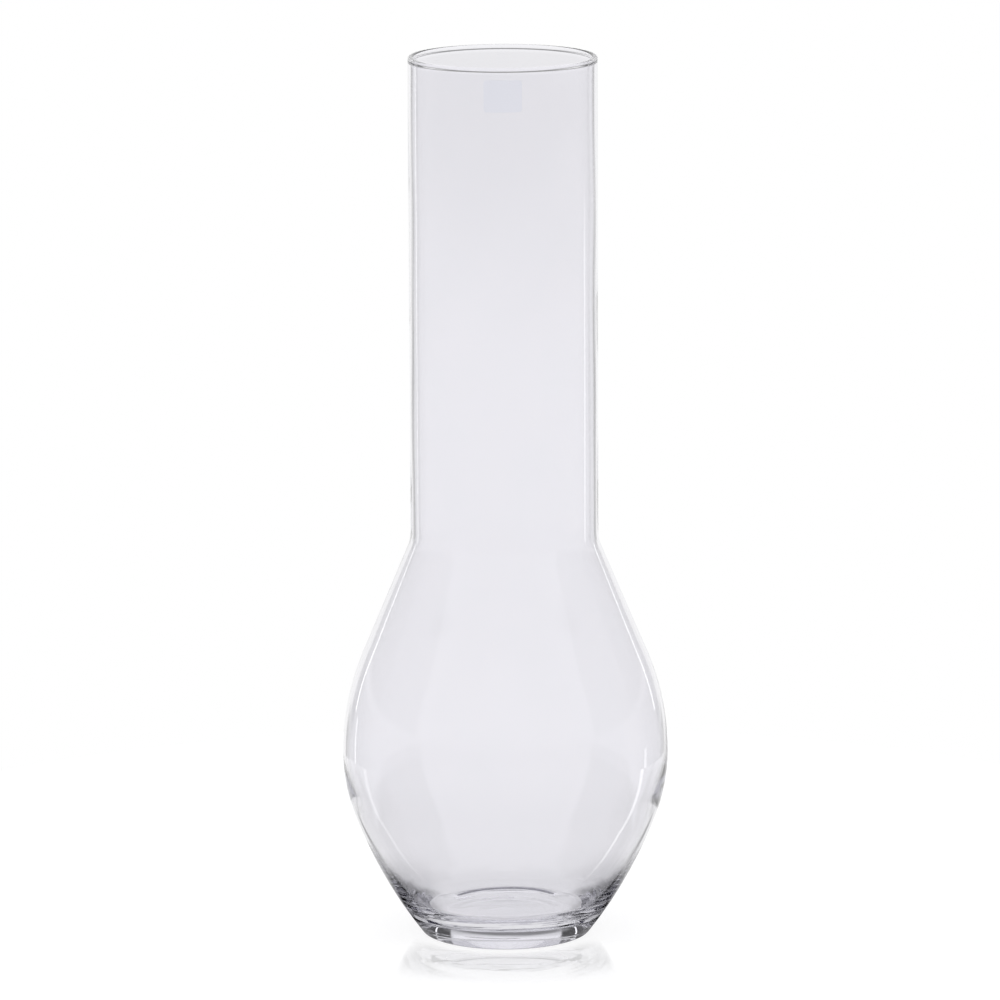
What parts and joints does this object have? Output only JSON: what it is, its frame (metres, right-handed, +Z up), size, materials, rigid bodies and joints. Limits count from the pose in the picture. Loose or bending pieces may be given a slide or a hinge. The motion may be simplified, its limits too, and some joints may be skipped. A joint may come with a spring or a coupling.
{
  "type": "flower vase",
  "caption": "Tall clear blown-glass flower vase: a straight cylindrical neck, open at the top, over a round bulb that tapers to a thick narrow base.",
  "frame": {"origin": "centre of the foot, on the plane that the vase stands on", "axes": "+Z up the axis of the vase, towards the mouth; -Y towards the side that carries the label"},
  "size_m": [0.1656, 0.1654, 0.45],
  "materials": {
    "clear_glass": "blown and fire-polished, clear",
    "clear_film": "clear glossy film, blank"
  },
  "bodies": {
    "root": {"glass_vessel": "clear_glass", "film_label": "clear_film"}
  },
  "joints": []
}
